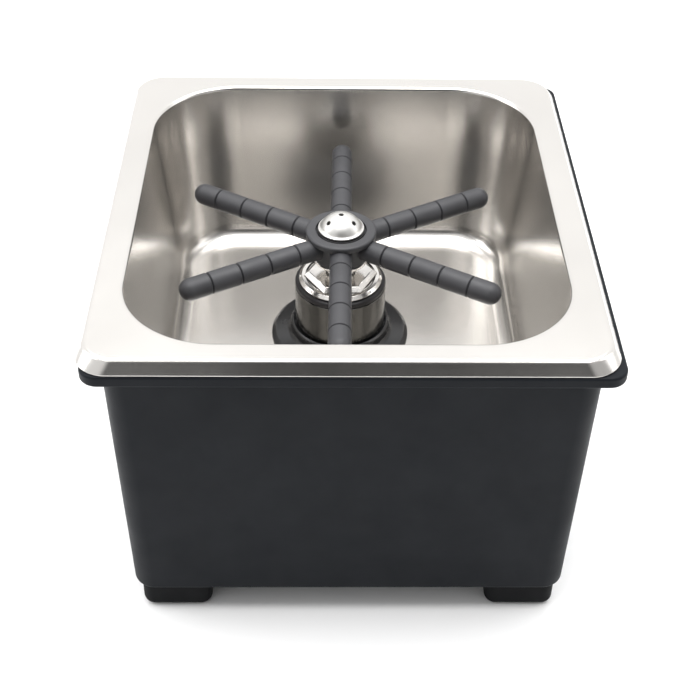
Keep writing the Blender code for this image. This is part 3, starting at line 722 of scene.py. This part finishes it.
NOTCHES = 8
NOTCH = (1.6, 1.5, 1.5)


def make_ring_nut():
    """Slim nut with a bevelled edge and eight spanner notches."""
    bottom, top = levels("ring_nut")
    outer = radius_of("ring_nut")
    profile = [
        (outer - 1.1, top, 0.15), (outer, top - 1.0, 0.15), (outer, bottom, 0.1),
        (BODY_HOLE, bottom, 0.1), (BODY_HOLE, top, 0.1),
    ]
    ring = turned("ring_nut_turned", profile, TOWER_AT, steps=ROUND)
    place = Matrix.Translation((outer * MM, 0, top * MM))
    block = Matrix.Diagonal((*(Vector(NOTCH) * MM), 1.0))
    bm = bmesh.new()
    for index in range(NOTCHES):
        turn = Matrix.Rotation(2 * math.pi * index / NOTCHES, 4, 'Z')
        bmesh.ops.create_cube(bm, size=1.0, matrix=turn @ place @ block)
    boolean(ring, to_object("notch_tool", bm, TOWER_AT), 'DIFFERENCE')
    install(ring, "ring_nut", sharp=30.0)


HEX_TURN = math.radians(33)
HEX_TAPER = 2.0             # how much the nut's corners draw in towards its top
STEM_RUNNING = 5.3
GLAND_BORE = 5.6
GLAND_NECK = 9.7
GLAND_HEAD = 85.8           # height of the hexagon's underside
GROOVE_WALL = 7.3           # O-ring groove inside the neck
GROOVE_HEIGHTS = (79.0, 81.2)


def make_gland():
    """Tapered hexagon nut with softened corners, its neck and the O-ring inside it."""
    bottom, top = levels("gland_nut")
    low, high = span("gland_nut")
    corner = max(high.x - low.x, high.y - low.y) / 2 / math.cos(math.radians(3))
    nut = hexagon("gland_hexagon", corner, corner - HEX_TAPER, GLAND_HEAD, top, TOWER_AT, HEX_TURN)
    soften_edges(nut, 0.22)
    bore = drills("gland_tool", [((0, 0, top), (0, 0, 1), GLAND_BORE, 10.0)], TOWER_AT, 64)
    boolean(nut, bore, 'DIFFERENCE')
    groove_low, groove_high = GROOVE_HEIGHTS
    neck = [
        (GLAND_NECK, GLAND_HEAD + 0.6), (GLAND_NECK, bottom, 0.3), (STEM_RUNNING, bottom, 0.2),
        (STEM_RUNNING, groove_low), (GROOVE_WALL, groove_low), (GROOVE_WALL, groove_high),
        (STEM_RUNNING, groove_high), (STEM_RUNNING, GLAND_HEAD + 0.6),
    ]
    boolean(nut, turned("neck_tool", neck, TOWER_AT), 'UNION')
    install(nut, "gland_nut", sharp=30.0)
    ring = middle("gland_seal")
    seal = arc((6.3, ring.z), 0.85, 0, -345, 23)
    on_tower("gland_seal", "gland_o_ring", seal, SMALL)


THREAD_TOP = 48.0           # the body's outside thread runs down from here
THREAD_PITCH = 1.5
THREAD_DEPTH = 0.6
VALVE_BORE = 9.0            # below the seat
VALVE_CHAMBER = 10.0        # above it
SEAT_HOLE = 6.2
SEAT_HEIGHTS = (59.4, 61.2, 62.2)


def make_valve_body():
    """Brass tube through the pan floor, threaded below it, with the seat inside."""
    bottom, top = levels("valve_body")
    outer = radius_of("valve_body")
    profile = [(outer, top, 0.2), (outer, THREAD_TOP + 2.0)]
    height = THREAD_TOP
    while height - THREAD_PITCH > bottom + 1.0:
        profile += [
            (outer, height - 0.2, 0.1), (outer - THREAD_DEPTH, height - THREAD_PITCH / 2, 0.15),
            (outer, height - 1.3, 0.1),
        ]
        height -= THREAD_PITCH
    under, lip, floor = SEAT_HEIGHTS
    profile += [
        (outer, bottom, 0.6), (VALVE_BORE, bottom, 0.2), (VALVE_BORE, under), (SEAT_HOLE, under),
        (SEAT_HOLE, lip), (SEAT_HOLE + 1.0, floor), (VALVE_CHAMBER, floor), (VALVE_CHAMBER, top, 0.2),
    ]
    on_tower("valve_body", "valve_body_tube", profile)


def make_pan_clamp():
    """Gaskets, washer and nut that pull the valve body tight against the pan floor."""
    for node, soft in (("floor_gasket", 0.3), ("under_gasket", 0.3), ("clamp_washer", 0.25)):
        bottom, top = levels(node)
        on_tower(node, node + "_ring", ring_profile(radius_of(node), BODY_HOLE, bottom, top, soft))
    install(hex_nut("back_nut_turned", "back_nut", TOWER_AT, BODY_HOLE, 1.2), "back_nut", sharp=30.0)


def hex_nut(name, node, place, bore, chamfer):
    """Hexagon nut, its corners turned off by a cone at both ends."""
    bottom, top = levels(node)
    low, high = span(node)
    corner = max(high.x - low.x, high.y - low.y) / 2
    flat = corner * math.cos(math.pi / 6)
    nut = hexagon(name, corner, corner, bottom, top, place)
    envelope = [
        (0, top), (flat - 0.3, top), (corner + 0.3, top - chamfer), (corner + 0.3, bottom + chamfer),
        (flat - 0.3, bottom), (0, bottom),
    ]
    boolean(nut, turned("envelope_tool", envelope, place, steps=96, ring=False), 'INTERSECT')
    mouth = bore + 0.8
    hole = [
        (0, top + 2), (mouth, top + 2), (mouth, top + 0.1), (bore, top - 0.7), (bore, bottom + 0.7),
        (mouth, bottom - 0.1), (mouth, bottom - 2), (0, bottom - 2),
    ]
    boolean(nut, turned("bore_tool", hole, place, steps=96, ring=False), 'DIFFERENCE')
    return nut


# ---------------------------------------------------------------- inlet and drain fittings

INLET_Z = 25.0
INLET_AIM = (0, math.pi / 2, math.pi)       # along -X
INLET_SHOULDER = 31.7       # where the elbow's neck meets its body
TAIL_END = 46.0
TAIL_RADIUS = 4.5
TAIL_COLLAR = 8.2
BARB_COUNT = 3
BARB_PITCH = 5.0


def make_inlet():
    """Brass elbow under the valve body and its barbed hose tail."""
    bottom, top = levels("inlet_elbow")
    upright = [
        (0, top), (8.7, top, 0.4), (8.7, INLET_SHOULDER), (10.0, INLET_SHOULDER, 0.4),
        (10.0, bottom + 1.5, 0.8), (8.5, bottom, 0.6), (0, bottom),
    ]
    elbow = turned("inlet_elbow_casting", upright, TOWER_AT, steps=96, ring=False)
    place = (TOWER.x, TOWER.y, INLET_Z)
    stub = [(0, 17.0), (7.6, 17.0, 0.4), (7.6, 3.0), (0, 3.0)]
    boolean(elbow, turned("stub_tool", stub, place, INLET_AIM, ring=False), 'UNION')
    bore_up = ((0, 0, 35.85), (0, 0, 1), 4.2, 22.0)
    bore_out = ((-12.0, 0, INLET_Z), (-1, 0, 0), 5.6, 16.0)
    for bore in (bore_up, bore_out):
        boolean(elbow, drills("bore_tool", [bore], TOWER_AT, 64), 'DIFFERENCE')
    install(elbow, "inlet_elbow", sharp=40.0)
    tail = []
    for barb in range(BARB_COUNT):
        start = TAIL_END - BARB_PITCH * barb
        tail += [(TAIL_RADIUS, start, 0.15), (5.4, start - 3.6, 0.12), (TAIL_RADIUS, start - 3.6, 0.1)]
    tail += [
        (TAIL_RADIUS, 22.0, 0.4), (TAIL_COLLAR, 22.0, 0.5), (TAIL_COLLAR, 17.3, 0.5), (5.3, 17.3),
        (5.3, 12.0, 0.2), (3.4, 12.0, 0.2), (3.4, TAIL_END, 0.2),
    ]
    install(turned("inlet_hose_tail", tail, place, INLET_AIM), "inlet_tail", sharp=35.0)


STRAINER_HOLE = 1.1
STRAINER_RING = 6           # holes round the one in the middle
STRAINER_PITCH = 4.3        # radius of that ring
DRAIN_ELBOW_Z = 28.0


def make_drain():
    """Flanged drain with a perforated strainer, its gasket, nut and elbow."""
    bottom, top = levels("drain_body")
    outer = radius_of("drain_body")
    floor = top - 1.2
    body = [
        (outer - 0.4, top, 0.3), (outer, top - 0.5, 0.4), (outer, floor, 0.2), (8.7, floor),
        (8.7, bottom, 0.4), (6.6, bottom, 0.2), (6.6, floor - 0.7), (7.6, floor - 0.7), (7.6, top, 0.3),
    ]
    install(turned("drain_body_turned", body, DRAIN_AT), "drain_body", sharp=35.0)
    low, high = levels("drain_strainer")
    edge = radius_of("drain_strainer")
    plate = [(0, high), (edge, high, 0.3), (edge, low, 0.1), (0, low)]
    strainer = turned("drain_strainer_plate", plate, DRAIN_AT, ring=False)
    holes = [((0, 0, high), (0, 0, 1), STRAINER_HOLE, 6.0)]
    for index in range(STRAINER_RING):
        angle = 2 * math.pi * index / STRAINER_RING
        place = (STRAINER_PITCH * math.cos(angle), STRAINER_PITCH * math.sin(angle), high)
        holes.append((place, (0, 0, 1), STRAINER_HOLE, 6.0))
    boolean(strainer, drills("strainer_tool", holes, DRAIN_AT, 24), 'DIFFERENCE')
    install(strainer, "drain_strainer", sharp=35.0)
    low, high = levels("drain_gasket")
    gasket = ring_profile(radius_of("drain_gasket"), DRAIN_HOLE, low, high, 0.3)
    install(turned("drain_gasket_ring", gasket, DRAIN_AT), "drain_gasket")
    nut = hex_nut("drain_nut_moulded", "drain_nut", DRAIN_AT, DRAIN_HOLE, 1.0)
    install(nut, "drain_nut", sharp=30.0)
    make_drain_elbow()


def make_drain_elbow():
    """Moulded elbow, its socket under the drain and its tail pointing at the back wall."""
    low, high = span("drain_elbow")
    bottom, top = low.z, high.z
    reach = high.y - DRAIN.y
    upright = [
        (0, top), (11.0, top, 0.5), (11.0, bottom + 2.0, 1.2), (9.5, bottom, 1.0), (0, bottom),
    ]
    elbow = turned("drain_elbow_moulding", upright, DRAIN_AT, steps=96, ring=False)
    stub = [(0, reach), (7.5, reach, 0.4), (7.5, 0.0), (0, 0.0)]
    along = (-math.pi / 2, 0, 0)
    place = (DRAIN.x, DRAIN.y, DRAIN_ELBOW_Z)
    boolean(elbow, turned("stub_tool", stub, place, along, ring=False), 'UNION')
    socket = ((0, 0, top - 2.5), (0, 0, 1), DRAIN_HOLE, 14.0)
    bore_down = ((0, 0, 33.0), (0, 0, 1), 6.0, 13.0)
    bore_back = ((0, reach - 10.5, DRAIN_ELBOW_Z), (0, 1, 0), 5.5, 31.0)
    for hole in (socket, bore_down, bore_back):
        boolean(elbow, drills("bore_tool", [hole], DRAIN_AT, 64), 'DIFFERENCE')
    install(elbow, "drain_elbow", sharp=40.0)


# ---------------------------------------------------------------- plunger

STEM = 5.0
STEM_TAIL = 3.0             # thinner end that the poppet sits on
STEM_SHOULDER = 57.6
STEM_BORE = 2.2
BORE_END = 63.5
CROSS_HOLE_Z = 66.0
TAIL_RUNNING = 3.3


def make_stem():
    """Polished hollow stem with a cross hole, and the collar that carries the spider."""
    bottom, top = levels("stem")
    profile = [
        (0, BORE_END), (STEM_BORE, BORE_END), (STEM_BORE, top, 0.2), (STEM, top, 0.3),
        (STEM, STEM_SHOULDER, 0.2), (STEM_TAIL, STEM_SHOULDER), (STEM_TAIL, bottom, 0.4), (0, bottom),
    ]
    made = turned("stem_rod", profile, TOWER_AT, steps=96, ring=False)
    cross = ((0, 0, CROSS_HOLE_Z), (1, 0, 0), 1.4, 14.0)
    boolean(made, drills("cross_tool", [cross], TOWER_AT), 'DIFFERENCE')
    install(made, "stem", sharp=35.0)
    low, high = levels("stem_collar")
    collar = ring_profile(radius_of("stem_collar"), STEM_RUNNING, low, high, 0.3)
    on_tower("stem_collar", "stem_collar_ring", collar)


def make_poppet():
    """Poppet and its face seal, and the cup that the return spring pushes on."""
    low, high = levels("poppet_seal")
    seal = ring_profile(radius_of("poppet_seal"), STEM_RUNNING, low, high, 0.25)
    on_tower("poppet_seal", "poppet_seal_ring", seal, SMALL)
    low, high = levels("poppet")
    poppet = ring_profile(radius_of("poppet"), TAIL_RUNNING, low, high, 0.3)
    on_tower("poppet", "poppet_turned", poppet, SMALL)
    low, high = levels("spring_cup")
    cup = [
        (7.2, high, 0.4), (7.2, low, 0.1), (6.6, low, 0.1), (6.6, 52.8, 0.3), (TAIL_RUNNING, 52.8),
        (TAIL_RUNNING, high),
    ]
    on_tower("spring_cup", "spring_cup_pressing", cup, SMALL)


SPRING_WIRE = 0.5
SPRING_TURNS = 5
SPRING_END_PITCH = 1.3
SPRING_STEPS = 48           # path points for each turn
SPRING_SIDES = 16


def make_spring():
    """Wire swept along a helix whose end turns lie closed."""
    bottom, top = levels("return_spring")
    low = bottom + SPRING_WIRE
    high = top - SPRING_WIRE
    coil = radius_of("return_spring") - SPRING_WIRE
    pitch = (high - low - 2 * SPRING_END_PITCH) / (SPRING_TURNS - 2)
    bm = bmesh.new()
    rings = []
    for index in range(SPRING_TURNS * SPRING_STEPS + 1):
        turn = index / SPRING_STEPS
        free = min(max(turn - 1, 0), SPRING_TURNS - 2)
        height = low + (turn - free) * SPRING_END_PITCH + free * pitch
        around = Matrix.Rotation(2 * math.pi * turn, 3, 'Z')
        ring = []
        for side in range(SPRING_SIDES):
            angle = 2 * math.pi * side / SPRING_SIDES
            point = around @ Vector((coil + SPRING_WIRE * math.cos(angle), 0, 0))
            ring.append(bm.verts.new(Vector((point.x, point.y, height + SPRING_WIRE * math.sin(angle))) * MM))
        rings.append(ring)
    for first, second in zip(rings, rings[1:]):
        for side in range(SPRING_SIDES):
            after = (side + 1) % SPRING_SIDES
            bm.faces.new((first[side], first[after], second[after], second[side]))
    bm.faces.new(rings[0])
    bm.faces.new(reversed(rings[-1]))
    bmesh.ops.recalc_face_normals(bm, faces=bm.faces)
    spring = install(to_object("return_spring_wire", bm, TOWER_AT), "return_spring")
    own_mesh(spring)


# ---------------------------------------------------------------- spider and dome

SPIDER_TURN = math.radians(-90.9)
ARM_COUNT = 6
ARM_Z = 99.7
ARM_REACH = 61.2
ARM_ROOT = 8.2
ARM_RADIUS = 3.8
GROOVE_FIRST = 17.7
GROOVE_PITCH = 10.95
GROOVE_COUNT = 4
GROOVE_HALF = 0.42
GROOVE_DEPTH = 0.75
HUB_RADIUS = 9.9
DISC_THICK = 2.2
DISC_RADIUS = 12.35
DOME_RECESS = 1.2
RECESS_RADIUS = 8.8
DOME_SOCKET = 7.1           # hole under the recess that the dome's neck goes into
SOCKET_FLOOR = 98.0


def arm_profile():
    """Turned arm, from its round tip back to its root, with a soft V groove between segments."""
    points = arc((0, ARM_REACH - ARM_RADIUS), ARM_RADIUS, 90, 0, 14)
    points[0] = (0, ARM_REACH)
    for index in reversed(range(GROOVE_COUNT)):
        place = GROOVE_FIRST + GROOVE_PITCH * index
        points += [
            (ARM_RADIUS, place + GROOVE_HALF, 0.15), (ARM_RADIUS - GROOVE_DEPTH, place, 0.06),
            (ARM_RADIUS, place - GROOVE_HALF, 0.15),
        ]
    return points + [(ARM_RADIUS, ARM_ROOT), (0, ARM_ROOT)]


def make_spider():
    """Hub with a top disc, a recess for the dome and six round arms, moulded in one piece."""
    bottom, top = levels("spider")
    disc_bottom = top - DISC_THICK
    recess = top - DOME_RECESS
    hub = [
        (DISC_RADIUS, top, 0.9), (DISC_RADIUS - 0.2, disc_bottom, 0.25), (HUB_RADIUS, disc_bottom, 0.5),
        (HUB_RADIUS, bottom, 0.9), (STEM_RUNNING, bottom, 0.2), (STEM_RUNNING, SOCKET_FLOOR),
        (DOME_SOCKET, SOCKET_FLOOR), (DOME_SOCKET, recess), (RECESS_RADIUS, recess, 0.1),
        (RECESS_RADIUS, top, 0.2),
    ]
    spider = turned("spider_moulding", hub, TOWER_AT, steps=96)
    for index in range(ARM_COUNT):
        aim = (0, math.pi / 2, SPIDER_TURN + 2 * math.pi * index / ARM_COUNT)
        arm = turned("arm_tool", arm_profile(), (TOWER.x, TOWER.y, ARM_Z), aim, steps=48, ring=False)
        boolean(spider, arm, 'UNION')
    install(spider, "spider", sharp=42.0)


DOME_FLANGE = 7.95
DOME_BASE = 7.3
DOME_SPHERE = 7.8
DOME_WALL = 1.0
DOME_HOLE = 0.85
DOME_HOLE_TILT = math.radians(40)
DOME_NECK = 6.8
SIDE_HOLES = 3


def make_dome():
    """Satin spray dome with a lip, a short step and four open spray holes."""
    bottom, top = levels("spray_dome")
    centre = top - DOME_SPHERE
    lip_bottom = levels("dome_seal")[1] + 0.3
    lip_top = lip_bottom + 0.8
    low = math.degrees(math.asin((lip_top + 0.3 - centre) / DOME_SPHERE))
    crown = arc((0, centre), DOME_SPHERE, 90, low, 24)
    crown[0] = (0, top)
    inner = DOME_SPHERE - DOME_WALL
    inner_low = math.degrees(math.asin((lip_top - centre) / inner))
    inside = arc((0, centre), inner, inner_low, 90, 16)
    inside[-1] = (0, top - DOME_WALL)
    skirt = [
        (DOME_BASE + 0.25, lip_top, 0.15), (DOME_FLANGE, lip_top - 0.1, 0.2),
        (DOME_FLANGE, lip_bottom, 0.15), (DOME_NECK, lip_bottom), (DOME_NECK, bottom),
        (STEM_RUNNING, bottom), (STEM_RUNNING, lip_top - 0.4),
    ]
    dome = turned("spray_dome_shell", crown + skirt + inside, TOWER_AT, steps=96, ring=False)
    holes = [((0, 0, top), (0, 0, 1), DOME_HOLE, 4.0)]
    for index in range(SIDE_HOLES):
        turn = math.pi / 2 + 2 * math.pi * index / SIDE_HOLES
        sideways = math.sin(DOME_HOLE_TILT)
        aim = (sideways * math.cos(turn), sideways * math.sin(turn), math.cos(DOME_HOLE_TILT))
        holes.append((Vector((0, 0, centre)) + Vector(aim) * DOME_SPHERE, aim, DOME_HOLE, 4.0))
    boolean(dome, drills("spray_tool", holes, TOWER_AT, 32), 'DIFFERENCE')
    install(dome, "spray_dome", SATIN_STEEL, sharp=35.0)
    low, high = levels("dome_seal")
    seal = ring_profile(radius_of("dome_seal"), DOME_SOCKET + 0.1, low, high, 0.25)
    on_tower("dome_seal", "dome_seal_ring", seal, SMALL)


# ---------------------------------------------------------------- stage, light and camera

def make_floor():
    bm = bmesh.new()
    bmesh.ops.create_grid(bm, x_segments=1, y_segments=1, size=6.0)
    floor = to_object("studio_floor", bm, (0, 0, -0.05))
    mat, shader = new_material("look_floor", (0.92, 0.92, 0.92), 0.75)
    shader.inputs["Specular IOR Level"].default_value = 0.1
    floor.data.materials.append(mat)


SKY_BACK = 1.35             # brightness of the studio behind the object
SKY_TOP = 0.85
SKY_SIDE = 0.95
SKY_FRONT = 0.05            # and of the dark side where the camera stands
SKY_RIGHT = 0.6             # dimmer quarter at the front right
RIGHT_AXIS = (0.70, -0.62, 0.35)
FRONT_AXIS = (0.0, -0.914, 0.407)


def sky_band(world, direction, value_from, value_to, low, high):
    """Brightness factor that changes with how closely the sky direction follows an axis."""
    tree = world.node_tree
    dot = tree.nodes.new("ShaderNodeVectorMath")
    dot.operation = 'DOT_PRODUCT'
    dot.inputs[1].default_value = direction
    coords = tree.nodes.new("ShaderNodeTexCoord")
    tree.links.new(coords.outputs["Generated"], dot.inputs[0])
    band = tree.nodes.new("ShaderNodeMapRange")
    band.interpolation_type = 'SMOOTHSTEP'
    band.inputs["From Min"].default_value = value_from
    band.inputs["From Max"].default_value = value_to
    band.inputs["To Min"].default_value = low
    band.inputs["To Max"].default_value = high
    tree.links.new(dot.outputs["Value"], band.inputs["Value"])
    return band.outputs["Result"]


def make_world():
    """Studio sky: bright behind, white to the sides, duller overhead and dark in front."""
    world = bpy.data.worlds.new("studio")
    bpy.context.scene.world = world
    world.use_nodes = True
    tree = world.node_tree
    background = tree.nodes["Background"]
    back = sky_band(world, (0, 1, 0), 0.1, 0.7, SKY_SIDE, SKY_BACK)
    overhead = sky_band(world, (0, 0, 1), 0.75, 0.98, 1.0, SKY_TOP)
    front = sky_band(world, FRONT_AXIS, 0.90, 0.965, 1.0, SKY_FRONT)
    right = sky_band(world, RIGHT_AXIS, 0.55, 0.95, 1.0, SKY_RIGHT)
    strength = back
    for factor in (overhead, front, right):
        product = tree.nodes.new("ShaderNodeMath")
        product.operation = 'MULTIPLY'
        tree.links.new(strength, product.inputs[0])
        tree.links.new(factor, product.inputs[1])
        strength = product.outputs["Value"]
    background.inputs["Color"].default_value = (1.0, 1.0, 1.0, 1.0)
    tree.links.new(strength, background.inputs["Strength"])


def area_light(name, location, target, size, power):
    data = bpy.data.lights.new(name, 'AREA')
    data.shape = 'RECTANGLE'
    data.size, data.size_y = size
    data.energy = power
    lamp = bpy.data.objects.new(name, data)
    lamp.location = location
    aim = Vector(target) - Vector(location)
    lamp.rotation_euler = aim.to_track_quat('-Z', 'Y').to_euler()
    bpy.context.scene.collection.objects.link(lamp)


def make_lights():
    area_light("top_softbox", (0.0, 0.05, 1.0), (0, 0, 0.05), (0.9, 0.9), 14.0)
    area_light("left_softbox", (-0.9, 0.0, 0.6), (0, 0, 0.08), (0.5, 0.8), 4.0)
    area_light("right_softbox", (0.9, 0.0, 0.6), (0, 0, 0.08), (0.5, 0.8), 2.0)


CAMERA_AT = (-0.00825, -0.37763, 0.36439)
CAMERA_RIGHT = (0.999793, -0.013396, 0.015288)
CAMERA_UP = (-0.003196, 0.639147, 0.769078)
CAMERA_FORWARD = (0.020074, 0.768968, -0.638972)
CAMERA_LENS = 67.88
CAMERA_SENSOR = 36.0


def make_camera():
    data = bpy.data.cameras.new("camera")
    data.lens = CAMERA_LENS
    data.sensor_width = CAMERA_SENSOR
    data.clip_start = 0.01
    camera = bpy.data.objects.new("camera", data)
    backward = -Vector(CAMERA_FORWARD)
    turn = Matrix((CAMERA_RIGHT, CAMERA_UP, backward)).transposed().to_4x4()
    camera.matrix_world = Matrix.Translation(CAMERA_AT) @ turn
    bpy.context.scene.collection.objects.link(camera)
    bpy.context.scene.camera = camera


make_camera()
make_tub()
for foot_place in FEET:
    make_foot(foot_place)
    make_foot_screw(foot_place)
make_pan()
make_floor_flange()
make_sleeve()
make_seal_ring()
make_ring_nut()
make_gland()
make_valve_body()
make_pan_clamp()
make_inlet()
make_drain()
make_stem()
make_poppet()
make_spring()
make_spider()
make_dome()
make_floor()
make_world()
make_lights()
bpy.context.scene.view_settings.view_transform = 'Standard'
